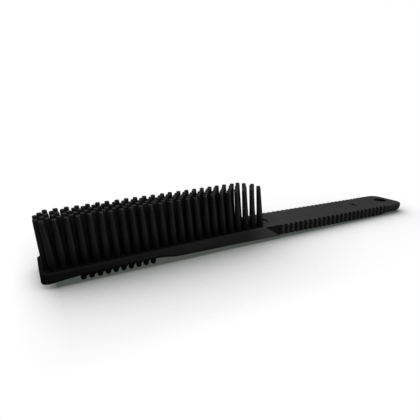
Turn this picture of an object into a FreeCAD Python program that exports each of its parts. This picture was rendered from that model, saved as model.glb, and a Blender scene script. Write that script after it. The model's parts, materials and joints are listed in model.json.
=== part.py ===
import FreeCAD, Part
import math
import os
import Sketcher

# Long-handled rubber brush, in millimetres.
#
# A flat moulding lies along X: a head with six staggered rows of tall tapered bristles on top
# and short nubs underneath, a short neck, and a ribbed handle with a hanging hole.
# A steel strip runs inside, from the toe to just before the hole.
#
# World frame: +X from the toe to the hanging hole, +Z up, Y across. The origin is the middle of
# the bounding box in X and Y, on the level of the lowest point.
# Every piece is drawn in one of two working frames that share their origin, the point where the
# head's top face meets the handle's: the head frame is level, and the handle frame is turned
# nose-down by handle_droop. place() moves a piece from its working frame to the world frame.

DRIVING_SIZES = [
    ("bristle_pitch", 6.0, "bristle to bristle along a row"),
    ("row_pitch", 4.4, "row to row"),
    ("bristle_length", 28.4, "bristle tip above the head's top face"),
    ("root_dia", 4.6, "bristle diameter just above the head"),
    ("tip_dia", 2.9, "bristle diameter at its flat end"),
    ("ball_dia", 5.0, "round root that a bristle bends about"),
    ("socket_gap", 0.05, "clearance round a root"),
    ("column_count", 24, "bristle pitches from the first bristle to the handle"),
    ("toe_margin", 5.9, "head beyond the first bristle"),
    ("head_width", 34.0, "head across"),
    ("head_thick", 5.2, "head slab"),
    ("head_corner", 5.0, "toe corner radius in plan"),
    ("toe_thick", 6.2, "slab at the toe's end"),
    ("toe_wedge", 19.0, "length over which the toe thins to the slab"),
    ("core_width", 18.0, "steel strip across"),
    ("core_thick", 1.4, "steel strip"),
    ("core_cover", 2.8, "rubber above the strip"),
    ("core_inset", 8.0, "toe end to the strip's end"),
    ("anchor_dia", 6.0, "hole in the strip that rubber fills"),
    ("anchor_pitch", 30.0, "hole to hole along the strip"),
    ("anchor_first", 12.0, "toe end to the first hole"),
    ("nub_dia", 3.3, "nub across"),
    ("nub_length", 3.6, "nub below the slab"),
    ("nub_pitch", 4.6, "nub to nub along a row"),
    ("nub_row_pitch", 4.5, "nub row to nub row"),
    ("nub_first", 16.2, "first nub behind the first bristle"),
    ("handle_width", 32.4, "handle across its ribs"),
    ("handle_thick", 8.0, "handle"),
    ("handle_length", 147.6, "head to the handle's end"),
    ("handle_droop", 1.5, "handle below the head's plane, degrees"),
    ("neck_length", 9.0, "smooth neck before the grip"),
    ("ramp_length", 68.0, "handle underside carried forward below the head"),
    ("cheek_drop", 1.45, "top of the neck's slanted cheek"),
    ("grip_length", 114.0, "ribbed length"),
    ("rib_pitch", 4.65, "rib to rib"),
    ("rib_first", 3.95, "grip's front to the first rib"),
    ("rib_width", 2.6, "rib at its root"),
    ("rib_crest", 1.6, "rib at its crest"),
    ("rib_depth", 1.5, "rib beyond the grip's wall"),
    ("end_corner", 7.0, "handle end corner radius in plan"),
    ("end_edge", 1.4, "rounding of the handle end's top edge"),
    ("end_keel", 5.0, "rounding of the handle end's bottom edge"),
    ("hole_dia", 10.0, "hanging hole"),
    ("hole_inset", 11.4, "handle end to the hole's centre"),
    ("pin_dia", 3.4, "mark of a moulding pin, down to the strip"),
    ("pin_neck", 7.0, "pin mark in the neck, from the head"),
    ("pin_grip", 92.2, "pin mark in the grip, from the grip's front"),
    ("line_length", 11.7, "witness line across a pin mark"),
    ("line_width", 1.6, "witness line"),
    ("line_depth", 0.6, "witness line"),
]

# Row from the -Y side: first bristle in pitches behind the toe's first column, and how many.
BRISTLE_ROWS = [(0.0, 24), (-0.5, 25), (0.0, 24), (-0.5, 25), (0.0, 24), (0.5, 23)]
NUB_ROWS = [(0.0, 10), (0.5, 9), (0.0, 10), (0.5, 9), (0.0, 10), (0.5, 9), (0.0, 10)]
ANCHOR_COUNT = 8
RIB_COUNT = 24


class Size:
    """A length that carries its number and the sheet expression that it comes from."""

    def __init__(self, value, text):
        self.value = value
        self.text = text

    @staticmethod
    def of(other):
        return other if isinstance(other, Size) else Size(float(other), repr(float(other)))

    def __add__(self, other):
        other = Size.of(other)
        return Size(self.value + other.value, f"({self.text} + {other.text})")

    def __sub__(self, other):
        other = Size.of(other)
        return Size(self.value - other.value, f"({self.text} - {other.text})")

    def __mul__(self, other):
        other = Size.of(other)
        return Size(self.value * other.value, f"({self.text} * {other.text})")

    def __truediv__(self, other):
        other = Size.of(other)
        return Size(self.value / other.value, f"({self.text} / {other.text})")

    def __neg__(self):
        return self * -1


ZERO = Size.of(0)


def cosine(angle):
    return Size(math.cos(math.radians(angle.value)), f"cos({angle.text} * 1deg)")


def sine(angle):
    return Size(math.sin(math.radians(angle.value)), f"sin({angle.text} * 1deg)")


def square_root(number):
    return Size(math.sqrt(number.value), f"sqrt({number.text})")


doc = FreeCAD.newDocument("RubberBrush")
sheet = doc.addObject("Spreadsheet::Sheet", "Sizes")
size = {}
for line, (alias, number, meaning) in enumerate(DRIVING_SIZES, start=1):
    sheet.set(f"A{line}", meaning)
    sheet.set(f"B{line}", str(number))
    sheet.setAlias(f"B{line}", alias)
    size[alias] = Size(float(number), f"Sizes.{alias}")
doc.recompute()

# Lengths worked out from the driving sizes.
bristle_span = size["bristle_pitch"] * size["column_count"]
head_length = size["toe_margin"] + bristle_span
grip_start = size["neck_length"]
grip_end = grip_start + size["grip_length"]
wall_half = size["handle_width"] / 2 - size["rib_depth"]
rib_half = size["handle_width"] / 2
droop_cos = cosine(size["handle_droop"])
droop_sin = sine(size["handle_droop"])
handle_reach = ((size["handle_length"] - size["end_edge"]) * droop_cos
                - size["end_edge"] * droop_sin + size["end_edge"])
origin_x = (head_length - handle_reach) / 2
origin_z = ((size["handle_length"] - size["end_keel"]) * droop_sin
            + (size["handle_thick"] - size["end_keel"]) * droop_cos + size["end_keel"])


def place(piece, drooped):
    """Move a piece from its working frame, level or drooped, to the world frame."""
    turn = FreeCAD.Rotation(FreeCAD.Vector(0, 1, 0), size["handle_droop"].value if drooped else 0)
    piece.Placement = FreeCAD.Placement(FreeCAD.Vector(origin_x.value, 0, origin_z.value), turn)
    piece.setExpression("Placement.Base.x", origin_x.text)
    piece.setExpression("Placement.Base.z", origin_z.text)
    if drooped:
        piece.setExpression("Placement.Rotation.Angle", size["handle_droop"].text)


def new_body(label, drooped=False):
    body = doc.addObject("PartDesign::Body", label)
    place(body, drooped)
    return body


def plane_of(body, role):
    return next(item for item in body.Origin.OriginFeatures if item.Role == role)


def hold(sketch, geometry, point, kind, target):
    """Fix one coordinate of a sketch point: on the axis when it is zero, else at a bound distance."""
    if target is ZERO:
        axis = -2 if kind == "DistanceX" else -1
        sketch.addConstraint(Sketcher.Constraint("PointOnObject", geometry, point, axis))
        return
    number = sketch.addConstraint(Sketcher.Constraint(kind, -1, 1, geometry, point, target.value))
    sketch.setExpression(f"Constraints[{number}]", target.text)


def outline(body, plane, corners, arcs=None, free=()):
    """A closed sketch through corners, an (x, y) list of Sizes.

    arcs maps the number of an edge to its centre; that edge turns anticlockwise.
    free holds (corner number, "DistanceX" or "DistanceY") pairs that an arc's radius already fixes.
    """
    arcs = arcs or {}
    sketch = body.newObject("Sketcher::SketchObject", f"{body.Name}_outline")
    sketch.AttachmentSupport = [(plane_of(body, plane), "")]
    sketch.MapMode = "FlatFace"
    points = [FreeCAD.Vector(x.value, y.value, 0) for x, y in corners]
    for number, start in enumerate(points):
        end = points[(number + 1) % len(points)]
        if number in arcs:
            centre = FreeCAD.Vector(arcs[number][0].value, arcs[number][1].value, 0)
            first = math.atan2(start.y - centre.y, start.x - centre.x)
            last = math.atan2(end.y - centre.y, end.x - centre.x)
            circle = Part.Circle(centre, FreeCAD.Vector(0, 0, 1), start.distanceToPoint(centre))
            sketch.addGeometry(Part.ArcOfCircle(circle, first, last))
        else:
            sketch.addGeometry(Part.LineSegment(start, end))
    for number in range(len(points)):
        following = (number + 1) % len(points)
        sketch.addConstraint(Sketcher.Constraint("Coincident", number, 2, following, 1))
    for number, centre in arcs.items():
        hold(sketch, number, 3, "DistanceX", centre[0])
        hold(sketch, number, 3, "DistanceY", centre[1])
    for number, corner in enumerate(corners):
        for kind, target in zip(("DistanceX", "DistanceY"), corner):
            if (number, kind) not in free:
                hold(sketch, number, 1, kind, target)
    return sketch


def rectangle(left, right, half):
    return [(left, -half), (right, -half), (right, half), (left, half)]


def circle_sketch(body, x, diameter):
    sketch = body.newObject("Sketcher::SketchObject", f"{body.Name}_circle")
    sketch.AttachmentSupport = [(plane_of(body, "XY_Plane"), "")]
    sketch.MapMode = "FlatFace"
    ring = Part.Circle(FreeCAD.Vector(x.value, 0, 0), FreeCAD.Vector(0, 0, 1), diameter.value / 2)
    sketch.addGeometry(ring)
    hold(sketch, 0, 3, "DistanceX", x)
    hold(sketch, 0, 3, "DistanceY", ZERO)
    number = sketch.addConstraint(Sketcher.Constraint("Diameter", 0, diameter.value))
    sketch.setExpression(f"Constraints[{number}]", diameter.text)
    return sketch


def pad_down(body, sketch, depth):
    """Extrude an XY sketch from the top face down."""
    pad = body.newObject("PartDesign::Pad", f"{body.Name}_slab")
    pad.Profile = sketch
    pad.Reversed = True
    pad.setExpression("Length", depth.text)
    doc.recompute()
    return pad


def pad_across(body, sketch, width):
    """Extrude an XZ sketch to both sides of the middle plane."""
    pad = body.newObject("PartDesign::Pad", f"{body.Name}_block")
    pad.Profile = sketch
    pad.SideType = "Symmetric"
    pad.setExpression("Length", width.text)
    doc.recompute()
    return pad


def pocket_down(body, sketch, depth=None):
    """Cut an XY sketch down from the top face, or through both ways when no depth is given."""
    before = body.Shape.Volume
    pocket = body.newObject("PartDesign::Pocket", f"{body.Name}_cut")
    pocket.Profile = sketch
    if depth is None:
        pocket.SideType = "Symmetric"
        pocket.Type = "ThroughAll"
    else:
        pocket.setExpression("Length", depth.text)
    doc.recompute()
    assert body.Shape.Volume < before, f"{pocket.Name} cut nothing"
    return pocket


def round_edges(body, radius, wanted):
    """Fillet the edges that wanted(edge) accepts, tested in the body's working frame."""
    base = body.Tip
    names = [f"Edge{number}" for number, edge in enumerate(base.Shape.Edges, start=1) if wanted(edge)]
    fillet = body.newObject("PartDesign::Fillet", f"{body.Name}_round")
    fillet.Base = (base, names)
    fillet.setExpression("Radius", radius.text)
    doc.recompute()


def turn_profile(body, sketch):
    """Revolve an XZ profile about the vertical line through the frame's origin."""
    turned = body.newObject("PartDesign::Revolution", f"{body.Name}_turned")
    turned.Profile = sketch
    turned.ReferenceAxis = (sketch, ["V_Axis"])
    turned.Angle = 360
    doc.recompute()
    return turned


def repeat_along_x(body, feature, pitch, count):
    pattern = body.newObject("PartDesign::LinearPattern", f"{body.Name}_row")
    pattern.Originals = [feature]
    pattern.Direction = (plane_of(body, "X_Axis"), [""])
    pattern.Mode = "Spacing"
    pattern.setExpression("Offset", pitch.text)
    pattern.Occurrences = count
    body.Tip = pattern
    doc.recompute()


def shift(body, x, y, z):
    """Add a bound offset to a level body's place."""
    body.setExpression("Placement.Base.x", (origin_x + x).text)
    body.setExpression("Placement.Base.y", y.text)
    body.setExpression("Placement.Base.z", (origin_z + z).text)


def cut(label, base, tool):
    result = doc.addObject("Part::Cut", label)
    result.Base = base
    result.Tool = tool
    doc.recompute()
    return result


def is_upright(edge):
    low, high = edge.Vertexes[0].Point, edge.Vertexes[-1].Point
    return abs(low.x - high.x) < 1e-6 and abs(low.y - high.y) < 1e-6


def is_flat_at(edge, height):
    return all(abs(vertex.Point.z - height) < 1e-6 for vertex in edge.Vertexes)


def reaches_beyond(edge, x):
    return any(vertex.Point.x > x + 1e-6 for vertex in edge.Vertexes)


# ---- steel strip -------------------------------------------------------------------------

def build_core():
    """A flat strip, bent where the head meets the handle, with holes that the rubber fills."""
    body = new_body("stiffener_core")
    top = -size["core_cover"]
    bottom = top - size["core_thick"]
    front = size["core_inset"] - head_length
    reach = size["handle_length"] - size["hole_inset"] - size["hole_dia"]
    rear_x = reach * droop_cos + bottom * droop_sin
    rear_top_x = reach * droop_cos + top * droop_sin
    rear_bottom = bottom * droop_cos - reach * droop_sin
    rear_top = top * droop_cos - reach * droop_sin
    corners = [(front, bottom), (ZERO, bottom), (rear_x, rear_bottom), (rear_top_x, rear_top),
               (ZERO, top), (front, top)]
    pad_across(body, outline(body, "XZ_Plane", corners), size["core_width"])
    anchors = pocket_down(body, circle_sketch(body, size["anchor_first"] - head_length,
                                              size["anchor_dia"]))
    repeat_along_x(body, anchors, size["anchor_pitch"], ANCHOR_COUNT)
    return body


# ---- bristles and their seats ------------------------------------------------------------

def bristle_profile(body):
    """Half section: a round root about the frame's origin, a taper, and a flat end."""
    ball = size["ball_dia"] / 2
    root = size["root_dia"] / 2
    leave = square_root(ball * ball - root * root)
    corners = [(ZERO, -ball), (root, leave), (size["tip_dia"] / 2, size["bristle_length"]),
               (ZERO, size["bristle_length"])]
    free = {(0, "DistanceY"), (1, "DistanceY")}
    sketch = outline(body, "XZ_Plane", corners, arcs={0: (ZERO, ZERO)}, free=free)
    number = sketch.addConstraint(Sketcher.Constraint("Radius", 0, ball.value))
    sketch.setExpression(f"Constraints[{number}]", ball.text)
    return sketch


def row_y(number, count, pitch):
    """Place of a row across the brush, counted from the -Y side."""
    return pitch * (number - (count - 1) / 2)


def first_bristle_x(offset):
    return size["bristle_pitch"] * offset - bristle_span


def build_bristle_row(number, offset, count):
    body = new_body(f"bristle_row_{number + 1}")
    turned = turn_profile(body, bristle_profile(body))
    repeat_along_x(body, turned, size["bristle_pitch"], count)
    shift(body, first_bristle_x(offset), row_y(number, len(BRISTLE_ROWS), size["row_pitch"]), ZERO)
    doc.recompute()
    return body


def build_sockets():
    """Round seats for every bristle root, used only to cut the head."""
    radius = size["ball_dia"].value / 2 + size["socket_gap"].value
    seats = []
    for number, (offset, count) in enumerate(BRISTLE_ROWS):
        y = row_y(number, len(BRISTLE_ROWS), size["row_pitch"]).value
        for column in range(count):
            x = first_bristle_x(offset).value + column * size["bristle_pitch"].value
            seats.append(Part.makeSphere(radius, FreeCAD.Vector(x, y, 0)))
    sockets = doc.addObject("Part::Feature", "sockets")
    sockets.Shape = Part.makeCompound(seats)
    place(sockets, drooped=False)
    return sockets


# ---- head --------------------------------------------------------------------------------

def build_head_blank():
    """A slab that thickens to a wedge at the toe."""
    body = new_body("head_blank")
    corners = [(-head_length, -size["toe_thick"]), (size["toe_wedge"] - head_length, -size["head_thick"]),
               (ZERO, -size["head_thick"]), (ZERO, ZERO), (-head_length, ZERO)]
    pad_across(body, outline(body, "XZ_Plane", corners), size["head_width"])
    toe = -head_length.value
    round_edges(body, size["head_corner"],
                lambda edge: is_upright(edge) and abs(edge.Vertexes[0].Point.x - toe) < 1e-6)
    return body


def build_nub_row(number, offset, count):
    """A row of short pegs with domed ends, below the head."""
    body = new_body(f"nub_row_{number + 1}")
    radius = size["nub_dia"] / 2
    length = size["nub_length"]
    dome = radius - length
    corners = [(ZERO, -length), (radius, dome), (radius, ZERO), (ZERO, ZERO)]
    sketch = outline(body, "XZ_Plane", corners, arcs={0: (ZERO, dome)}, free={(0, "DistanceY")})
    turned = turn_profile(body, sketch)
    repeat_along_x(body, turned, size["nub_pitch"], count)
    x = size["nub_first"] + size["nub_pitch"] * offset - bristle_span
    shift(body, x, row_y(number, len(NUB_ROWS), size["nub_row_pitch"]), -size["head_thick"])
    doc.recompute()
    return body


# ---- neck and handle, in the drooped frame -----------------------------------------------

def pin_mark(body, x):
    """A moulding pin's round hole down to the strip, with a fine line across it."""
    pocket_down(body, circle_sketch(body, x, size["pin_dia"]), size["core_cover"])
    half_line = size["line_width"] / 2
    corners = rectangle(x - half_line, x + half_line, size["line_length"] / 2)
    pocket_down(body, outline(body, "XY_Plane", corners), size["line_depth"])


def build_neck_blank():
    """A block between head and grip, with slanted cheeks that run forward as a ramp below the head."""
    body = new_body("neck_blank", drooped=True)
    thick = size["handle_thick"]
    block = [(ZERO, -thick), (grip_start, -thick), (grip_start, ZERO), (ZERO, ZERO)]
    pad_across(body, outline(body, "XZ_Plane", block), wall_half * 2)
    buried = -size["head_thick"] / 2
    cheek = [(-size["ramp_length"], -thick), (grip_start, -thick), (ZERO, -size["cheek_drop"]),
             (ZERO, buried), (-size["ramp_length"], buried)]
    pad_across(body, outline(body, "XZ_Plane", cheek), size["handle_width"])
    pin_mark(body, size["pin_neck"])
    return body


def build_grip_blank():
    body = new_body("grip_blank", drooped=True)
    corners = rectangle(grip_start, grip_end, wall_half)
    pad_down(body, outline(body, "XY_Plane", corners), size["handle_thick"])
    pin_mark(body, grip_start + size["pin_grip"])
    return body


def build_ribs(label, side):
    """Upright ribs along one wall of the grip; side is -1 or +1 in Y."""
    body = new_body(label, drooped=True)
    middle = grip_start + size["rib_first"]
    root = size["rib_width"] / 2
    crest = size["rib_crest"] / 2
    wall = wall_half * side
    face = rib_half * side
    corners = [(middle - root, wall), (middle - crest, face), (middle + crest, face), (middle + root, wall)]
    rib = pad_down(body, outline(body, "XY_Plane", corners), size["handle_thick"])
    repeat_along_x(body, rib, size["rib_pitch"], RIB_COUNT)
    return body


def build_end_blank():
    """The rounded end of the handle, with the hanging hole."""
    body = new_body("handle_end_blank", drooped=True)
    corners = rectangle(grip_end, size["handle_length"], rib_half)
    pad_down(body, outline(body, "XY_Plane", corners), size["handle_thick"])
    end = size["handle_length"].value
    start = grip_end.value
    round_edges(body, size["end_corner"],
                lambda edge: is_upright(edge) and abs(edge.Vertexes[0].Point.x - end) < 1e-6)
    round_edges(body, size["end_edge"], lambda edge: is_flat_at(edge, 0) and reaches_beyond(edge, start))
    bottom = -size["handle_thick"].value
    round_edges(body, size["end_keel"], lambda edge: is_flat_at(edge, bottom) and reaches_beyond(edge, start))
    pocket_down(body, circle_sketch(body, size["handle_length"] - size["hole_inset"], size["hole_dia"]))
    return body


# ---- assembly ----------------------------------------------------------------------------

core = build_core()
head_blank = build_head_blank()
head_seats = cut("head_with_seats", head_blank, build_sockets())
pieces = [
    core,
    cut("head_pad", head_seats, core),
    cut("neck", cut("neck_under_head", build_neck_blank(), head_blank), core),
    cut("grip_body", build_grip_blank(), core),
    cut("handle_end", build_end_blank(), core),
    build_ribs("ribs_right", -1),
    build_ribs("ribs_left", 1),
]
pieces += [build_bristle_row(number, *row) for number, row in enumerate(BRISTLE_ROWS)]
pieces += [build_nub_row(number, *row) for number, row in enumerate(NUB_ROWS)]
doc.recompute()

for item in doc.Objects:
    assert not {"Invalid", "Error"} & set(item.State), f"{item.Name}: {item.State}"
for piece in pieces:
    assert not piece.Shape.isNull() and piece.Shape.isValid(), f"{piece.Label} has a bad shape"

os.makedirs("parts", exist_ok=True)
for piece in pieces:
    piece.Shape.exportStep(f"parts/{piece.Label}.step")
    box = piece.Shape.BoundBox
    print(f"{piece.Label}: {len(piece.Shape.Solids)} solids, {piece.Shape.Volume:.1f} mm3, "
          f"X {box.XMin:.2f}..{box.XMax:.2f} Y {box.YMin:.2f}..{box.YMax:.2f} "
          f"Z {box.ZMin:.2f}..{box.ZMax:.2f}")
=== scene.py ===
import json
import math
import random

import bmesh
import bpy
from mathutils import Matrix, Vector

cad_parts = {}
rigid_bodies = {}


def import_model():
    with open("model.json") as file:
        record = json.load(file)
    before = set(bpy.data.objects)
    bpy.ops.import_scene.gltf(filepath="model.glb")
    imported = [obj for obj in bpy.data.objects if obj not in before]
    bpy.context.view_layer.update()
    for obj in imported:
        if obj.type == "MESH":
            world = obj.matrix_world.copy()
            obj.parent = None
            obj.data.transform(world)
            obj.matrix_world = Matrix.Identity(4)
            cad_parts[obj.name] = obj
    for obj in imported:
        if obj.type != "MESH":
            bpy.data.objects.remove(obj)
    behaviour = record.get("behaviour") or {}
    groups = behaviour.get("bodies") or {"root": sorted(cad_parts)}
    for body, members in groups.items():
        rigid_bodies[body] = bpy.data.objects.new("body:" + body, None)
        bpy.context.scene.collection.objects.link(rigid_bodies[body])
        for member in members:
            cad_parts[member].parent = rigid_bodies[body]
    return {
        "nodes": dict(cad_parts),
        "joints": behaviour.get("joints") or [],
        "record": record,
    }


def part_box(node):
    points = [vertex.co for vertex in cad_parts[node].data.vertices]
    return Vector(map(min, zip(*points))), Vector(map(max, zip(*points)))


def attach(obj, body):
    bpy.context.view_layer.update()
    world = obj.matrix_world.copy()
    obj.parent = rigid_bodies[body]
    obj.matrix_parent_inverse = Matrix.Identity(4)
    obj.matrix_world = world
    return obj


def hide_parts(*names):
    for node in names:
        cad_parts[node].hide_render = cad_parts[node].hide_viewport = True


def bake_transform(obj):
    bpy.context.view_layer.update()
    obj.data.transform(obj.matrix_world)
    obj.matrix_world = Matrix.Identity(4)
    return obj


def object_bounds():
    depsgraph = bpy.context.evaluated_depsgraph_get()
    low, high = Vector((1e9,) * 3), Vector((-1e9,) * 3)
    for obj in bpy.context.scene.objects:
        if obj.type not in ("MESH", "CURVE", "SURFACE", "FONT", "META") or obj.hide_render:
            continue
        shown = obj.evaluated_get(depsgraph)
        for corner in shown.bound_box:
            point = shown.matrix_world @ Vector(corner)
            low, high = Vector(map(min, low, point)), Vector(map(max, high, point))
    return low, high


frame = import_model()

# Looks for a long-handled rubber brush: one smooth moulding with a ribbed grip, six rows of
# tapered bristles and seven rows of nubs, on a pale floor under a soft overhead light.
#
# Blender works in metres. Shapes are drawn in millimetres in the moulding's own straight frame:
# x along the brush from the point where head meets handle, y across, z up from the top face.
# to_row() turns the handle down by its droop and gives the place in the row frame.

MM = 0.001
SEED = 11
cad_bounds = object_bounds()
joints = frame["joints"]
root_body = joints[0]["parent"]

# ---- sizes read from the frame, in millimetres ---------------------------------------------

head_low, head_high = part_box("head_pad")
grip_low, grip_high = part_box("grip_body")
rib_low, rib_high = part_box("ribs_left")
nub_low, nub_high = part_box("nub_row_1")
hole = next(mount for mount in frame["record"]["mounts"] if mount["name"] == "hang_hole")
hole_axis = Vector(hole["axis"]).normalized()
bend = Vector((head_high.x, 0, head_high.z))
droop_cos, droop_sin = hole_axis.z, hole_axis.x


def along_handle(point):
    """Distance along the drooping handle from the bend."""
    return (Vector(point) - bend).dot(Vector((droop_cos, 0, -droop_sin))) / MM


head_length = (head_high.x - head_low.x) / MM
head_half = head_high.y / MM
head_thick = (bend.z - nub_high.z) / MM
toe_thick = (head_high.z - head_low.z) / MM
rib_half = rib_high.y / MM
wall_half = grip_high.y / MM
handle_thick = hole["dims"]["length_mm"]
hole_x = along_handle(hole["pos_m"])
hole_radius = hole["dims"]["r_mm"]
grip_start = along_handle((grip_low.x, 0, bend.z)) + handle_thick * droop_sin
grip_end = along_handle((grip_high.x, 0, grip_low.z)) - handle_thick * droop_sin
handle_length = ((cad_bounds[1].x - bend.x) / MM + handle_thick / 2 * droop_sin) / droop_cos
bristle_length = (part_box("bristle_row_1")[1].z - bend.z) / MM
cheek_end = grip_start + 0.4

# ---- shape details, in millimetres ----------------------------------------------------------

# The foot and head offsets move a bristle along the brush from its place in the frame; the
# column at the toe leans a little more.
BRISTLE_PITCH = 6.0
BRISTLE_ROOT = 2.3
BRISTLE_TIP = 1.45
BRISTLE_RIM = 0.35
BRISTLE_FLARE = 0.15
FLARE_HEIGHT = 1.3
BRISTLE_SET = 1.5
BRISTLE_FOOT = 0.75
BRISTLE_HEAD = -0.5
FIRST_FOOT = 0.7
FIRST_HEAD = -0.3
BRISTLE_BOW = 0.25
BRISTLE_DISH = 0.06
BRISTLE_SIDES = 24
# How many times further from the brush's middle a foot stands than its head.
BRISTLE_GATHER = 1.07

NUB_PITCH = 4.6
NUB_RADIUS = 1.65
NUB_FILLET = 0.3
NUB_SET = 1.0
NUB_SIDES = 20

TOE_CORNER = 5.0
END_CORNER = 7.5
END_KEEL = 5.0
END_LIFT = 2.0
CORNER_STEPS = 12

# The flat faces reach this far from the middle; the rounded edge section goes on from there.
INNER_HALF = 12.2
TOP_HALF = 14.6
RIM_THIN = 4.5
RIM_HEIGHT = 1.3
RIM_HIGHEST = -1.5
RIM_ROUND = 0.3
RIM_RUNOUT = 14.0
SIDE_INSET = 0.8
FOOT_INSET = 0.2
CREASE = 0.1
FLANK_START = -24.0
FLANK_EASE = 40.0
CHEEK_START = -2.0

RIB_COUNT = 24
RIB_WIDTH = 2.6
# Shares of a rib's width from its middle: where its crest ends and where the groove begins.
RIB_CREST = 0.28
RIB_FOOT = 0.58
RIB_STATIONS = (0, 0.2, 0.34, 0.4, 0.45, 0.49, 0.53, 0.58, 0.64, 0.73)

HOLE_FLARE = 0.7
HOLE_SIDES = 48
PIN_RADIUS = 2.0
PIN_STRETCH = 1.5
PIN_DEPTH = 2.6
PIN_FLARE = 0.2
PIN_SIDES = 24
PIN_PLACES = (7.0, 101.2)
LINE_HALF = 5.85
# Half widths and heights of the witness line's groove, from its floor up.
LINE_WALLS = ((0.4, -0.7), (0.7, -0.4), (0.9, 0.3))

# Roundings of an upright wall's top and bottom edge, in each stretch of the handle.
NECK_ROUNDS = (0.5, 0.5)
GROOVE_ROUNDS = (0.4, 0.5)
RIB_ROUNDS = (1.3, 1.5)
WALL_ROUNDS = (0.5, 0.8)
END_ROUNDS = (1.4, 6.0)
ROUND_STEPS = 4


def to_row(x, y, z):
    """A place in the straight frame, in millimetres, as a point of the row frame in metres."""
    if x > 0:
        x, z = x * droop_cos + z * droop_sin, z * droop_cos - x * droop_sin
    return bend + Vector((x, y, z)) * MM


def mix(low, high, share):
    """The value a share of the way from low to high."""
    return low + (high - low) * share


def mix_all(first, second, share):
    """The same for each pair of values in two tuples."""
    return tuple(mix(a, b, share) for a, b in zip(first, second))


def ease(low, high, value):
    """0 below low, 1 above high, smooth between them."""
    share = min(max((value - low) / (high - low), 0), 1)
    return share * share * (3 - 2 * share)


# ---- the moulding's edge section ------------------------------------------------------------
# A section has six corners from the top face round the edge to the underside, each with its
# distance from the brush's middle plane, its height and its rounding.

def underside(x):
    """Height of the lower edge: a wedge at the toe, thin beside the nubs, then the handle's plane."""
    nub_start = (nub_low.x - bend.x) / MM
    nub_end = (nub_high.x - bend.x) / MM
    if x < nub_start:
        return -mix(RIM_THIN, toe_thick, min((nub_start - x) / (nub_start + head_length), 1))
    handle_plane = handle_thick + min(x, 0) * droop_sin / droop_cos
    return -mix(RIM_THIN, handle_plane, ease(nub_end, nub_end + RIM_RUNOUT, x))


def head_section(x, toe_share):
    """A steep flank that leans back towards the neck, down to the rim."""
    bottom = underside(x)
    side_top = mix(head_half - SIDE_INSET, TOP_HALF, ease(-head_length, FLANK_START, x))
    top = mix(side_top, head_half - FOOT_INSET, toe_share)
    rim_top = min(bottom + RIM_HEIGHT, RIM_HIGHEST)
    above_rim = (head_half - FOOT_INSET / 2, rim_top + RIM_ROUND, RIM_ROUND)
    return [(INNER_HALF, 0, 0), (top, 0, mix(1.2, 0.8, toe_share)), above_rim,
            (head_half, rim_top, RIM_ROUND), (head_half, bottom, 0.7), (INNER_HALF, bottom - 0.3, 0)]


def flank_section(bottom, ledge, top_round=0.8):
    """A plain sloping flank. Its two middle corners lie on the slope, where the ledge will begin."""
    foot = head_half - FOOT_INSET
    share = ledge / bottom
    apart = 0.04
    upper = (mix(wall_half, foot, share), ledge, CREASE)
    lower = (mix(wall_half, foot, share + apart), ledge + bottom * apart, CREASE)
    return [(INNER_HALF, 0, 0), (wall_half, 0, top_round), upper, lower,
            (foot, bottom, 0.9), (INNER_HALF, bottom, 0)]


def neck_section(ledge):
    """Groove wall down to the ledge, then the neck's flank."""
    corners = flank_section(-handle_thick, ledge, 0.5)
    corners[2] = (wall_half, ledge, 0.15)
    return corners


def wall_section(half, rounds, lift=0):
    """An upright wall with its foot lifted; the two middle corners keep clear of the rounded edges."""
    top_round, bottom_round = rounds
    upper = -top_round - 0.4
    lower = upper - 0.6
    return [(INNER_HALF, 0, 0), (half, 0, top_round), (half, upper, CREASE), (half, lower, CREASE),
            (half, lift - handle_thick, bottom_round), (INNER_HALF, -handle_thick, 0)]


def mixed(first, second, share):
    """A section a share of the way from the first to the second."""
    return [mix_all(one, two, share) for one, two in zip(first, second)]


def ledge_height(x):
    """The groove's lower edge: it runs down the neck's flank from the top face to the underside."""
    share = (x - CHEEK_START) / (cheek_end - CHEEK_START)
    return mix(-0.7, 0.6 - handle_thick, min(max(share, 0), 1))


def side_section(x):
    """The section on the straight sides."""
    if x <= FLANK_START:
        plain = flank_section(underside(x), -head_thick / 2)
        return mixed(head_section(x, 0), plain, ease(FLANK_START - FLANK_EASE, FLANK_START, x))
    if x <= CHEEK_START:
        ledge = mix(-head_thick / 2, ledge_height(x), ease(FLANK_START, CHEEK_START - 2, x))
        return flank_section(underside(x), ledge)
    if x <= cheek_end:
        return neck_section(ledge_height(x))
    if x <= cheek_end + 1:
        share = ease(cheek_end, cheek_end + 1, x)
        return mixed(neck_section(ledge_height(x)), wall_section(wall_half, NECK_ROUNDS), share)
    if x < grip_end:
        height = rib_height(x)
        return wall_section(mix(wall_half, rib_half, height), mix_all(GROOVE_ROUNDS, RIB_ROUNDS, height))
    share = ease(grip_end, grip_end + 2, x)
    half = mix(wall_half, rib_half, ease(grip_end, grip_end + 0.7, x))
    return wall_section(half, mix_all(WALL_ROUNDS, END_ROUNDS, share), END_LIFT * share)


rib_first = along_handle((rib_low.x, 0, rib_high.z)) + RIB_WIDTH / 2
rib_last = along_handle((rib_high.x, 0, rib_low.z)) - RIB_WIDTH / 2
rib_pitch = (rib_last - rib_first) / (RIB_COUNT - 1)


def rib_height(x):
    """1 on a rib's crest, 0 on the groove's floor."""
    number = min(max(round((x - rib_first) / rib_pitch), 0), RIB_COUNT - 1)
    distance = abs(x - rib_first - number * rib_pitch)
    return 1 - ease(RIB_WIDTH * RIB_CREST, RIB_WIDTH * RIB_FOOT, distance)


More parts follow.
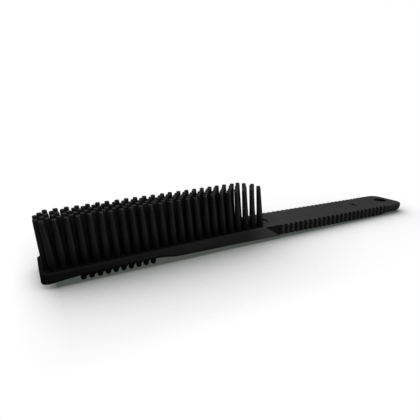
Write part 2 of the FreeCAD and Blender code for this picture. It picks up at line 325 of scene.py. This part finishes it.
def rounded(corners):
    """Points along a section, with each rounded corner as a curve of ROUND_STEPS segments."""
    points = []
    for number, (half, height, radius) in enumerate(corners):
        corner = Vector((half, height))
        if radius == 0:
            points.append(corner)
            continue
        ends = []
        for neighbour in (corners[number - 1], corners[number + 1]):
            reach = Vector(neighbour[:2]) - corner
            fair = reach.length * radius / (radius + neighbour[2]) * 0.97
            ends.append(corner + reach.normalized() * min(radius, fair))
        for step in range(ROUND_STEPS + 1):
            share = step / ROUND_STEPS
            points.append(ends[0].lerp(corner, share).lerp(corner.lerp(ends[1], share), share))
    return points


# ---- the moulding's outline -----------------------------------------------------------------

def steps(start, end, step):
    """Places from start, a step apart, as long as they are below end."""
    while start < end:
        yield start
        start += step


def side_places():
    """Places along the straight sides: even steps, and closer ones round ribs and transitions."""
    coarse, fine, end_step = 2.0, 0.5, 1.5
    first, last = TOE_CORNER - head_length, handle_length - END_CORNER
    plain = list(steps(first, FLANK_START - coarse, coarse))
    places = {first, last, 0.0, grip_start, grip_end, grip_end + 0.6, *plain}
    places.update(steps(plain[-1] + coarse, grip_start + 2, fine))
    for number in range(RIB_COUNT):
        middle = rib_first + number * rib_pitch
        for share in RIB_STATIONS:
            places.update((middle - share * RIB_WIDTH, middle + share * RIB_WIDTH))
    places.update(steps(grip_end + 1.2, last, end_step))
    ordered = sorted(places)
    closest = 0.02
    return [x for x, following in zip(ordered, ordered[1:] + [math.inf]) if following - x > closest]


def corner_ways(start, end):
    """Outward directions round a corner in plan, between two angles in degrees."""
    for n in range(CORNER_STEPS + 1):
        angle = math.radians(mix(start, end, n / CORNER_STEPS))
        yield math.cos(angle), math.sin(angle)


def half_outline():
    """Stations from the middle of the toe to the middle of the handle's end, on the +Y side.

    Each is a point on the outline, the outward direction, the half width there and the section.
    """
    stations = []
    straight = head_half - TOE_CORNER
    for share in (0, 0.35, 0.7):
        stations.append(((-head_length, straight * share), (-1, 0), head_half, head_section(-head_length, 1)))
    for way in corner_ways(180, 90):
        place = (TOE_CORNER - head_length + TOE_CORNER * way[0], straight + TOE_CORNER * way[1])
        stations.append((place, way, head_half, head_section(place[0], way[0] ** 2)))
    for x in side_places()[1:-1]:
        stations.append(((x, head_half), (0, 1), head_half, side_section(x)))
    straight = rib_half - END_CORNER
    section = side_section(handle_length - END_CORNER)
    for way in corner_ways(90, 0):
        place = (handle_length - END_CORNER + END_CORNER * way[0], straight + END_CORNER * way[1])
        stations.append((place, way, rib_half, section))
    for share in (0.7, 0.35, 0):
        stations.append(((handle_length, straight * share), (1, 0), rib_half, section))
    return stations


def station_points(station):
    """The section's points in space: each as far out along the station's way as in the section."""
    (x, y), (way_x, way_y), reference, corners = station
    points = []
    for point in rounded(corners):
        out = point.x - reference
        points.append(Vector((x + way_x * out, y + way_y * out, point.y)))
    return points


def add_cap(mesh, left, right):
    """Fill a flat face between the two sides' points: ends as one face, the length as strips."""
    toe = next(n for n in range(len(left)) if left[n].co.x > left[0].co.x + 0.001)
    end = next(n for n in range(len(left) - 1, 0, -1) if left[n].co.x < left[-1].co.x - 0.001)
    mesh.faces.new([*left[toe::-1], *right[1:toe + 1]])
    for n in range(toe, end):
        mesh.faces.new((left[n], left[n + 1], right[n + 1], right[n]))
    mesh.faces.new([*left[end:], *right[-2:end - 1:-1]])


def build_moulding():
    """The whole rubber body as one closed mesh in the straight frame, in millimetres."""
    mesh = bmesh.new()
    left = [[mesh.verts.new(p) for p in station_points(station)] for station in half_outline()]
    right = [left[0]]
    for column in left[1:-1]:
        right.append([mesh.verts.new((v.co.x, -v.co.y, v.co.z)) for v in column])
    right.append(left[-1])
    for side in (left, right):
        for column, following in zip(side, side[1:]):
            for n in range(len(column) - 1):
                mesh.faces.new((column[n], column[n + 1], following[n + 1], following[n]))
    add_cap(mesh, [column[0] for column in left], [column[0] for column in right])
    add_cap(mesh, [column[-1] for column in left], [column[-1] for column in right])
    bmesh.ops.recalc_face_normals(mesh, faces=mesh.faces)
    return mesh


# ---- mesh helpers ---------------------------------------------------------------------------

def new_object(name, mesh):
    """A smooth-shaded object from a bmesh, which is freed."""
    data = bpy.data.meshes.new(name)
    mesh.to_mesh(data)
    mesh.free()
    data.shade_smooth()
    thing = bpy.data.objects.new(name, data)
    bpy.context.scene.collection.objects.link(thing)
    return thing


def turned(mesh, profile, centre, sides, bow=(0, 0), tilt=(0, 0)):
    """Add a closed turned solid along z. profile is (radius, height) from the bottom up.

    Both bow and tilt move the top sideways: bow in a curve that starts upright, tilt evenly.
    """
    top = profile[-1][1]
    rings = []
    for radius, height in profile:
        share = max(height, 0) / top if top > 0 else 0
        aside = [bow[axis] * share ** 2 + tilt[axis] * share for axis in (0, 1)]
        middle = Vector(centre) + Vector((*aside, height))
        if radius == 0:
            rings.append([mesh.verts.new(middle)])
            continue
        ring = []
        for n in range(sides):
            angle = 2 * math.pi * n / sides
            ring.append(mesh.verts.new(middle + Vector((math.cos(angle), math.sin(angle), 0)) * radius))
        rings.append(ring)
    for low, high in zip(rings, rings[1:]):
        for n in range(sides):
            after = (n + 1) % sides
            if len(low) == 1:
                mesh.faces.new((low[0], high[after], high[n]))
            elif len(high) == 1:
                mesh.faces.new((low[n], low[after], high[0]))
            else:
                mesh.faces.new((low[n], low[after], high[after], high[n]))
    return rings


def arc(centre, radius, start, end, steps):
    """(radius, height) points of an arc between two angles in degrees."""
    angles = [math.radians(mix(start, end, n / steps)) for n in range(steps + 1)]
    return [(centre[0] + radius * math.cos(a), centre[1] + radius * math.sin(a)) for a in angles]


def bake_modifiers(thing):
    """Replace an object's mesh by what its modifiers make of it."""
    graph = bpy.context.evaluated_depsgraph_get()
    data = bpy.data.meshes.new_from_object(thing.evaluated_get(graph), depsgraph=graph)
    thing.modifiers.clear()
    thing.data = data


def subtract(thing, cutter):
    """Cut one object out of another and delete the cutter."""
    tool = thing.modifiers.new("cut", "BOOLEAN")
    tool.object = cutter
    tool.operation = "DIFFERENCE"
    tool.solver = "EXACT"
    bake_modifiers(thing)
    bpy.data.objects.remove(cutter)


def mark_edges(thing):
    """Store in the attribute "edge" how sharply outward the surface turns at each point, 0 to 1."""
    sharp = math.radians(25)
    mesh = bmesh.new()
    mesh.from_mesh(thing.data)
    turns = []
    for vert in mesh.verts:
        turn = max((edge.calc_face_angle_signed(0) for edge in vert.link_edges), default=0)
        turns.append(min(max(turn / sharp, 0), 1))
    mesh.free()
    layer = thing.data.attributes.new("edge", "FLOAT", "POINT")
    layer.data.foreach_set("value", turns)


def in_pin_mark(x, y, z):
    """True in a pin mark or its witness line, but not on the face round it."""
    if not -PIN_DEPTH - 0.1 < z < -0.1:
        return False
    for pin_x in PIN_PLACES:
        on_line = abs(x - pin_x) < LINE_WALLS[-1][0] - 0.05 and abs(y) < LINE_HALF
        if on_line or math.hypot(x - pin_x, y / PIN_STRETCH) < PIN_RADIUS + 0.3:
            return True
    return False


def in_groove(x, y, z):
    """True on the walls and floors between the ribs and above the neck's ledge."""
    above_ledge = x > cheek_end or z > ledge_height(x) - 0.05
    return CHEEK_START < x < grip_end + 0.3 and abs(y) > wall_half - 0.2 and z < -0.3 and above_ledge


def mark_recesses(thing):
    """Store in the attribute "recess" how shut in each point is: holes, lines and grooves, 0 to 1."""
    values = []
    for vert in thing.data.vertices:
        x, y, z = vert.co
        in_hole = math.hypot(x - hole_x, y) < hole_radius + 0.4 and -handle_thick < z < -0.2
        shut = 1.0 if in_hole or in_pin_mark(x, y, z) else 0.0
        if in_groove(x, y, z):
            out = max(abs(y) - wall_half, 0) / (rib_half - wall_half)
            shut = 0.8 * (1 - min(out, 1))
        values.append(shut)
    # The rubber material darkens these places by this value as painted shade.
    layer = thing.data.attributes.new("recess", "FLOAT", "POINT")
    layer.data.foreach_set("value", values)


# ---- cutters --------------------------------------------------------------------------------

def hole_cutter():
    """The hanging hole, flared where it meets the two faces."""
    wide = hole_radius + HOLE_FLARE
    low = arc((wide, HOLE_FLARE - handle_thick), HOLE_FLARE, 255, 180, 5)
    high = arc((wide, -HOLE_FLARE), HOLE_FLARE, 180, 105, 5)
    profile = [(0, -handle_thick - 1), (wide + 0.4, -handle_thick - 1), *low, *high, (wide + 0.4, 1), (0, 1)]
    mesh = bmesh.new()
    turned(mesh, profile, (hole_x, 0, 0), HOLE_SIDES)
    bmesh.ops.recalc_face_normals(mesh, faces=mesh.faces)
    return new_object("hole_cutter", mesh)


def pin_cutter(x):
    """A moulding pin's mark, longer across the brush, with a thin skin of rubber left over the strip."""
    high = arc((PIN_RADIUS + PIN_FLARE, -PIN_FLARE), PIN_FLARE, 180, 105, 3)
    profile = [(0, -PIN_DEPTH), (PIN_RADIUS, -PIN_DEPTH), *high, (PIN_RADIUS + 0.4, 0.5), (0, 0.5)]
    mesh = bmesh.new()
    turned(mesh, profile, (x, 0, 0), PIN_SIDES)
    for vert in mesh.verts:
        vert.co.y *= PIN_STRETCH
    bmesh.ops.recalc_face_normals(mesh, faces=mesh.faces)
    return new_object("pin_cutter", mesh)


def line_cutter(x):
    """The fine witness line across a pin mark, with round ends and sloping sides."""
    mesh = bmesh.new()
    rings = []
    reach = LINE_HALF - 0.5
    arc_steps = 6
    for half_width, height in LINE_WALLS:
        ring = []
        for side in (1, -1):
            for n in range(arc_steps + 1):
                angle = math.pi * n / arc_steps
                across = half_width * math.cos(angle) * side
                length = (reach + half_width * math.sin(angle)) * side
                ring.append(mesh.verts.new((x + across, length, height)))
        rings.append(ring)
    for low, high in zip(rings, rings[1:]):
        for n in range(len(low)):
            after = (n + 1) % len(low)
            mesh.faces.new((low[n], low[after], high[after], high[n]))
    mesh.faces.new(rings[0])
    mesh.faces.new(rings[-1])
    bmesh.ops.recalc_face_normals(mesh, faces=mesh.faces)
    return new_object("line_cutter", mesh)


# ---- materials ------------------------------------------------------------------------------

class Shader:
    """A small helper to write the node graph of a material or a world as nested calls."""

    def __init__(self, owner):
        owner.use_nodes = True
        self.owner = owner
        self.tree = owner.node_tree
        self.tree.nodes.clear()

    def put(self, value, socket):
        """Feed a socket from another node's output or with a plain value."""
        if isinstance(value, bpy.types.NodeSocket):
            self.tree.links.new(value, socket)
        else:
            socket.default_value = value

    def node(self, kind, inputs=None, **settings):
        """A new node with its settings made and its inputs fed."""
        made = self.tree.nodes.new("ShaderNode" + kind)
        for key, value in settings.items():
            setattr(made, key, value)
        for key, value in (inputs or {}).items():
            self.put(value, made.inputs[key])
        return made

    def place(self, kind="Object"):
        """Coordinates: of the object, or of the sky with "Generated"."""
        return self.node("TexCoord").outputs[kind]

    def part(self, vector, axis):
        """One axis of a vector."""
        return self.node("SeparateXYZ", {"Vector": vector}).outputs[axis]

    def stored(self, name):
        """A value kept in the mesh's attribute of that name."""
        return self.node("Attribute", attribute_name=name).outputs["Fac"]

    def noise(self, place, scale, detail=3.0, roughness=0.5):
        inputs = {"Vector": place, "Scale": scale, "Detail": detail, "Roughness": roughness}
        return self.node("TexNoise", inputs).outputs[0]

    def remap(self, value, low, high, to_low=0.0, to_high=1.0):
        """low to high becomes to_low to to_high, and stays there outside."""
        inputs = {"Value": value, "From Min": low, "From Max": high, "To Min": to_low, "To Max": to_high}
        return self.node("MapRange", inputs).outputs[0]

    def blend(self, share, first, second):
        """A colour a share of the way from the first to the second."""
        made = self.node("Mix", data_type="RGBA")
        for socket, value in zip((made.inputs[0], made.inputs[6], made.inputs[7]), (share, first, second)):
            self.put(value, socket)
        return made.outputs[2]

    def times(self, first, second):
        return self.node("Math", {0: first, 1: second}, operation="MULTIPLY").outputs[0]

    def plus(self, first, second):
        return self.node("Math", {0: first, 1: second}, operation="ADD").outputs[0]

    def bump(self, height, distance, strength=1.0, under=None):
        """Relief in metres, laid over another bump's normal."""
        inputs = {"Height": height, "Distance": distance, "Strength": strength}
        if under is not None:
            inputs["Normal"] = under
        return self.node("Bump", inputs).outputs[0]

    def by_view(self, hidden, seen):
        """One shader for light, another for what the camera sees directly."""
        camera_ray = self.node("LightPath").outputs["Is Camera Ray"]
        return self.node("MixShader", {0: camera_ray, 1: hidden.outputs[0], 2: seen.outputs[0]}).outputs[0]

    def finish(self, shader, kind="OutputMaterial"):
        """Send the shader to the output and return the material or world."""
        self.node(kind, {"Surface": shader})
        return self.owner


def new_material(name):
    return Shader(bpy.data.materials.new(name))


def grey(value, warmth=0.0):
    """A grey, pushed towards warm by a share of its value."""
    return (value * (1 + warmth), value, value * (1 - warmth * 0.3), 1)


def rubber(name, base, grain, dullness):
    """Matte black moulded rubber: fine grain, faint warm mottling, dust in the pores, polished edges.

    Painted shade makes it blackest at the toe beside the bristles and in holes, lines and grooves,
    greyest from the neck on, and a little darker towards the handle's end. base is its lightness,
    grain the depth of its pores and dullness its middle roughness.
    """
    s = new_material(name)
    place = s.place()
    edge = s.stored("edge")
    along = s.part(place, "X")
    # Painted shade: dark along the head where the bristles shade it, light from the neck on, darker in
    # recesses and a little darker towards the handle's end.
    neck = bend.x - 18 * MM
    painted_shade = s.remap(along, head_low.x, neck, 0.16, 0.33)
    painted_shade = s.plus(painted_shade, s.remap(along, neck, bend.x - 2 * MM, 0, 0.67))
    painted_shade = s.times(painted_shade, s.remap(s.stored("recess"), 0, 1, 1, 0.12))
    painted_shade = s.times(painted_shade, s.remap(along, bend.x + 20 * MM, bend.x + 140 * MM, 1, 0.82))
    mottle = s.remap(s.noise(place, 85, 4, 0.55), 0.35, 0.68)
    cloud = s.remap(s.noise(place, 22, 2), 0.3, 0.7)
    pores = s.noise(place, 2600, 2, 0.6)
    dust = s.remap(s.noise(place, 5200, 1), 0.69, 0.78)
    scuff = s.remap(s.noise(place, 420, 5, 0.7), 0.5, 0.72)
    colour = s.blend(mottle, grey(base * 0.84, 0.04), grey(base * 1.16, 0.22))
    colour = s.blend(s.times(cloud, 0.4), colour, grey(base * 0.8))
    colour = s.blend(s.times(s.times(edge, scuff), 0.5), colour, grey(base * 2.2, 0.04))
    colour = s.blend(s.times(dust, 0.3), colour, grey(base * 3.4, 0.03))
    # The painted shade darkens the colour towards near black.
    colour = s.blend(painted_shade, grey(base * 0.1), colour)
    roughness = s.remap(pores, 0.3, 0.7, dullness - 0.07, dullness + 0.08)
    roughness = s.plus(roughness, s.times(edge, -0.1))
    relief = s.bump(s.noise(place, 140, 3), 0.00012, 0.5)
    relief = s.bump(pores, 0.00004 * grain, 0.6, relief)
    # The painted shade also lowers the sheen.
    sheen = s.times(painted_shade, 0.21)
    inputs = {"Base Color": colour, "Roughness": roughness, "Normal": relief, "Specular IOR Level": sheen}
    return s.finish(s.node("BsdfPrincipled", inputs).outputs[0])


def bristle_rubber(name, base, dullness):
    """Smoother rubber with faint lengthwise streaks; paler where the tips rub; painted shade at the roots."""
    s = new_material(name)
    place = s.place()
    edge = s.stored("edge")
    tone = s.stored("tone")
    tip = s.stored("tip")
    rise = s.stored("rise")
    drawn = s.node("Mapping", {"Vector": place, "Scale": (1, 1, 0.06)}).outputs[0]
    streaks = s.noise(drawn, 1500, 3, 0.6)
    pores = s.noise(place, 3200, 2, 0.6)
    scuff = s.remap(s.noise(place, 900, 4, 0.7), 0.4, 0.7)
    colour = s.blend(tone, grey(base * 0.8, 0.01), grey(base * 1.2, 0.05))
    colour = s.blend(s.remap(streaks, 0.45, 0.75, 0, 0.35), colour, grey(base * 1.7, 0.03))
    colour = s.blend(s.times(tip, s.plus(s.times(scuff, 0.5), 0.5)), colour, grey(base * 2.0, 0.05))
    colour = s.blend(s.times(edge, 0.35), colour, grey(base * 2.2, 0.04))
    roughness = s.remap(streaks, 0.3, 0.7, dullness - 0.06, dullness + 0.1)
    relief = s.bump(streaks, 0.00003, 0.5)
    relief = s.bump(pores, 0.00003, 0.6, relief)
    # Painted shade: darker towards the roots, where the bristles shade one another; it also lowers their
    # sheen.
    colour = s.blend(rise, grey(base * 0.3), colour)
    sheen = s.times(s.remap(tip, 0, 1, 0.19, 0.12), s.remap(rise, 0, 1, 0.25, 1))
    inputs = {"Base Color": colour, "Roughness": roughness, "Normal": relief, "Specular IOR Level": sheen}
    return s.finish(s.node("BsdfPrincipled", inputs).outputs[0])


def rolled_steel():
    """The strip inside: rolled lengthwise, with a thin grey oxide bloom."""
    s = new_material("rolled_steel")
    place = s.place()
    rolled = s.node("Mapping", {"Vector": place, "Scale": (0.03, 1, 1)}).outputs[0]
    lines = s.noise(rolled, 2400, 4, 0.6)
    bloom = s.remap(s.noise(place, 120, 4, 0.6), 0.4, 0.7)
    colour = s.blend(lines, (0.38, 0.39, 0.4, 1), (0.6, 0.61, 0.62, 1))
    colour = s.blend(s.times(bloom, 0.35), colour, (0.24, 0.23, 0.22, 1))
    roughness = s.remap(lines, 0.3, 0.7, 0.28, 0.5)
    relief = s.bump(lines, 0.00002, 0.5)
    inputs = {"Base Color": colour, "Roughness": roughness, "Normal": relief, "Metallic": 1.0}
    return s.finish(s.node("BsdfPrincipled", inputs).outputs[0])


moulding_rubber = rubber("moulding_rubber", 0.0115, 1.0, 0.62)
nub_rubber = rubber("nub_rubber", 0.012, 0.6, 0.55)
tapered_rubber = bristle_rubber("tapered_rubber", 0.0045, 0.38)

# ---- moulding pieces ------------------------------------------------------------------------

def slice_of(whole, name, start, end):
    """A closed copy of the part of the moulding between two places along it, in the row frame."""
    mesh = bmesh.new()
    mesh.from_mesh(whole.data)
    for x, way in ((start, -1), (end, 1)):
        if x is None:
            continue
        everything = mesh.verts[:] + mesh.edges[:] + mesh.faces[:]
        cut = bmesh.ops.bisect_plane(mesh, geom=everything, plane_co=(x, 0, 0), plane_no=(way, 0, 0),
                                     dist=0.0001, clear_outer=True)
        rim = [item for item in cut["geom_cut"] if isinstance(item, bmesh.types.BMEdge)]
        filled = bmesh.ops.triangle_fill(mesh, edges=rim, use_beauty=True)
        for item in filled["geom"]:
            if isinstance(item, bmesh.types.BMFace):
                item.smooth = False
                for edge in item.edges:
                    edge.smooth = edge not in rim
    bmesh.ops.recalc_face_normals(mesh, faces=mesh.faces)
    for vert in mesh.verts:
        vert.co = to_row(*vert.co)
    return new_object(name, mesh)


whole = new_object("whole_moulding", build_moulding())
subtract(whole, hole_cutter())
for pin_x in PIN_PLACES:
    subtract(whole, pin_cutter(pin_x))
    subtract(whole, line_cutter(pin_x))
mark_edges(whole)
mark_recesses(whole)

SLICES = (
    ("rubber_head", None, 0.0, ("head_pad",)),
    ("rubber_neck", 0.0, grip_start, ("neck",)),
    ("rubber_grip", grip_start, grip_end, ("grip_body", "ribs_left", "ribs_right")),
    ("rubber_handle_end", grip_end, None, ("handle_end",)),
)
for name, start, end, nodes in SLICES:
    piece = slice_of(whole, name, start, end)
    piece.data.materials.append(moulding_rubber)
    piece.modifiers.new("even_shading", "WEIGHTED_NORMAL").keep_sharp = True
    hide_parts(*nodes)
    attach(piece, root_body)
bpy.data.objects.remove(whole)

# ---- bristles -------------------------------------------------------------------------------

def bristle_profile():
    """Set into the head, a small flare, a long taper and a flat tip with a soft rim."""
    foot = BRISTLE_ROOT + BRISTLE_FLARE
    shoulder = bristle_length - BRISTLE_RIM
    profile = [(0, -BRISTLE_SET), (foot, -BRISTLE_SET), (foot, -0.05)]
    for share in (0.2, 0.5, 1):
        profile.append((BRISTLE_ROOT + BRISTLE_FLARE * (1 - share) ** 2, FLARE_HEIGHT * share))
    taper_steps = 10
    for step in range(1, taper_steps + 1):
        height = mix(FLARE_HEIGHT, shoulder, step / taper_steps)
        profile.append((mix(BRISTLE_ROOT, BRISTLE_TIP, height / bristle_length), height))
    profile += arc((BRISTLE_TIP - BRISTLE_RIM, shoulder), BRISTLE_RIM, 18, 90, 4)
    profile += [(0.6, bristle_length - BRISTLE_DISH / 2), (0, bristle_length - BRISTLE_DISH)]
    return profile


def row_columns(node, radius, pitch):
    """Places along x of a row's items, in the straight frame."""
    low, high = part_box(node)
    first = (low.x - bend.x) / MM + radius
    last = (high.x - bend.x) / MM - radius
    count = round((last - first) / pitch) + 1
    return [first + pitch * n for n in range(count)]


def add_bristle(mesh, layers, profile, foot, head, dice):
    """One bristle with its own bow and tone, and the values that its material reads."""
    bow = (dice.gauss(0, BRISTLE_BOW), dice.gauss(0, BRISTLE_BOW))
    tone = dice.random()
    rings = turned(mesh, profile, foot, BRISTLE_SIDES, bow, head - foot)
    for ring in rings:
        for vert in ring:
            vert[layers["tone"]] = tone
            vert[layers["rise"]] = ease(0, bristle_length * 0.5, vert.co.z)
    for ring in rings[-3:]:
        for vert in ring:
            vert[layers["tip"]] = 1


def build_bristle_row(joint, dice):
    """A row of bristles, each leaning from its foot in the head towards its top."""
    body = joint["child"]
    node = "bristle_" + body
    pivot = Vector(joint["pos_m"])
    low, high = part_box(node)
    ball = (high.y - low.y) / MM / 2
    mesh = bmesh.new()
    layers = {name: mesh.verts.layers.float.new(name) for name in ("tone", "tip", "rise")}
    profile = bristle_profile()
    columns = row_columns(node, ball, BRISTLE_PITCH)
    for x in columns:
        foot = Vector((x + BRISTLE_FOOT, pivot.y / MM * BRISTLE_GATHER, 0))
        head = Vector((x + BRISTLE_HEAD, pivot.y / MM, 0))
        if x == columns[0]:
            foot.x += FIRST_FOOT
            head.x += FIRST_HEAD
        add_bristle(mesh, layers, profile, foot, head, dice)
    for vert in mesh.verts:
        vert.co = to_row(*vert.co)
    row = new_object("tapered_" + node, mesh)
    mark_edges(row)
    row.data.materials.append(tapered_rubber)
    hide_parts(node)
    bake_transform(row)


dice = random.Random(SEED)
for joint in joints:
    build_bristle_row(joint, dice)

# ---- nubs -----------------------------------------------------------------------------------

def build_nub_row(node):
    """A row of round-ended nubs, set into the underside with a small fillet."""
    low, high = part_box(node)
    middle = (low.y + high.y) / 2 / MM
    tip = (low.z - bend.z) / MM
    base = -head_thick
    profile = arc((0, tip + NUB_RADIUS), NUB_RADIUS, -90, 0, 6)
    profile[0] = (0, tip)
    foot = NUB_RADIUS + NUB_FILLET
    profile += [(NUB_RADIUS, base - NUB_FILLET), (NUB_RADIUS + 0.08, base - 0.1), (foot, base + 0.1)]
    profile += [(foot, base + NUB_SET), (0, base + NUB_SET)]
    mesh = bmesh.new()
    for x in row_columns(node, NUB_RADIUS, NUB_PITCH):
        turned(mesh, profile, (x, middle, 0), NUB_SIDES)
    for vert in mesh.verts:
        vert.co = to_row(*vert.co)
    row = new_object("domed_" + node, mesh)
    mark_edges(row)
    row.data.materials.append(nub_rubber)
    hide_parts(node)
    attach(row, root_body)


for node in sorted(name for name in frame["nodes"] if name.startswith("nub_row")):
    build_nub_row(node)

strip = frame["nodes"]["stiffener_core"]
strip.data.materials.clear()
strip.data.materials.append(rolled_steel())

# ---- floor ----------------------------------------------------------------------------------

FLOOR_REACH = 6.0
FLOOR_GAP = 0.05 * MM
SHADE_DISTANCE = 80 * MM
SHADE_COLOUR = (0.07, 0.08, 0.073, 1)
WHITE = (1, 1, 1, 1)


def floor_material():
    """Pale floor that throws little light back.

    The camera sees it white, greyer where the brush stands close, and white again past the toe.
    """
    s = new_material("pale_floor")
    shade = s.node("AmbientOcclusion", {"Distance": SHADE_DISTANCE}, samples=32).outputs["AO"]
    open_sky = s.remap(shade, 0.3, 1.0)
    open_sky = s.times(open_sky, open_sky)
    along = s.part(s.place(), "X")
    past_toe = s.remap(along, head_low.x - 14 * MM, head_low.x + 8 * MM, 1, 0)
    colour = s.blend(past_toe, s.blend(open_sky, SHADE_COLOUR, WHITE), WHITE)
    seen = s.node("Emission", {"Color": colour})
    bounce = s.node("BsdfDiffuse", {"Color": (0.12, 0.12, 0.12, 1)})
    return s.finish(s.by_view(bounce, seen))


def build_floor():
    """A wide plane that touches the toe's nubs and the underside of the handle's end."""
    end_low, end_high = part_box("handle_end")
    toe_touch = Vector((nub_low.x + NUB_RADIUS * MM, 0, nub_low.z))
    end_touch = Vector((end_high.x - END_KEEL * MM, 0, end_low.z))
    slope = (end_touch.z - toe_touch.z) / (end_touch.x - toe_touch.x)
    mesh = bmesh.new()
    corners = []
    for x, y in ((-1, -1), (1, -1), (1, 1), (-1, 1)):
        height = toe_touch.z - FLOOR_GAP + (x * FLOOR_REACH - toe_touch.x) * slope
        corners.append(mesh.verts.new((x * FLOOR_REACH, y * FLOOR_REACH, height)))
    mesh.faces.new(corners)
    floor = new_object("floor", mesh)
    floor.data.materials.append(floor_material())


build_floor()

# ---- light and camera -----------------------------------------------------------------------

# Name, place, what it points at, width and depth in metres, and power in watts.
LIGHTS = (
    ("key", (-0.35, -0.45, 0.6), (0, 0, 0.01), (0.5, 0.5), 1.5),
    ("fill", (0.12, -0.28, 0.12), (0.03, 0, 0), (0.15, 0.1), 0.42),
)
VIEW_AZIMUTH = math.radians(27.4)
VIEW_ELEVATION = math.radians(16.4)
VIEW_ROLL = math.radians(-1.5)
CAMERA_DISTANCE = 0.252
CAMERA_LENS = 31.33
SENSOR_WIDTH = 36
# What the middle of the picture shows, from the bend.
CAMERA_AIM = Vector((-0.03906, 0, 0.0148))


def build_world():
    """A soft overhead sky for light; plain white where the camera sees past the floor."""
    s = Shader(bpy.data.worlds.new("studio"))
    ramp = s.node("ValToRGB", {"Fac": s.part(s.place("Generated"), "Z")})
    horizon, zenith = ramp.color_ramp.elements
    horizon.position = 0.4
    horizon.color = (0.03, 0.03, 0.032, 1)
    zenith.position = 0.9
    zenith.color = WHITE
    light = s.node("Background", {"Color": ramp.outputs[0], "Strength": 2.0})
    seen = s.node("Background", {"Color": WHITE})
    bpy.context.scene.world = s.finish(s.by_view(light, seen), "OutputWorld")


def area_light(name, place, target, size, power):
    """A rectangular lamp at a place, turned to its target."""
    data = bpy.data.lights.new(name, "AREA")
    data.shape = "RECTANGLE"
    data.size, data.size_y = size
    data.energy = power
    lamp = bpy.data.objects.new(name, data)
    lamp.location = place
    lamp.rotation_euler = (Vector(target) - Vector(place)).to_track_quat("-Z", "Y").to_euler()
    bpy.context.scene.collection.objects.link(lamp)


def build_camera():
    """The scene's camera, looking down at the brush from in front of the toe."""
    level = Vector((math.cos(VIEW_AZIMUTH), -math.sin(VIEW_AZIMUTH), 0))
    ahead = Vector((math.sin(VIEW_AZIMUTH), math.cos(VIEW_AZIMUTH), 0))
    forward = ahead * math.cos(VIEW_ELEVATION) - Vector((0, 0, math.sin(VIEW_ELEVATION)))
    upright = level.cross(forward)
    right = level * math.cos(VIEW_ROLL) + upright * math.sin(VIEW_ROLL)
    up = upright * math.cos(VIEW_ROLL) - level * math.sin(VIEW_ROLL)
    data = bpy.data.cameras.new("camera")
    data.lens = CAMERA_LENS
    data.sensor_width = SENSOR_WIDTH
    data.clip_start = 0.01
    camera = bpy.data.objects.new("camera", data)
    turn = Matrix((right, up, -forward)).transposed().to_4x4()
    camera.matrix_world = Matrix.Translation(bend + CAMERA_AIM - forward * CAMERA_DISTANCE) @ turn
    bpy.context.scene.collection.objects.link(camera)
    bpy.context.scene.camera = camera


build_world()
for light in LIGHTS:
    area_light(*light)
build_camera()
bpy.context.scene.view_settings.view_transform = "Standard"
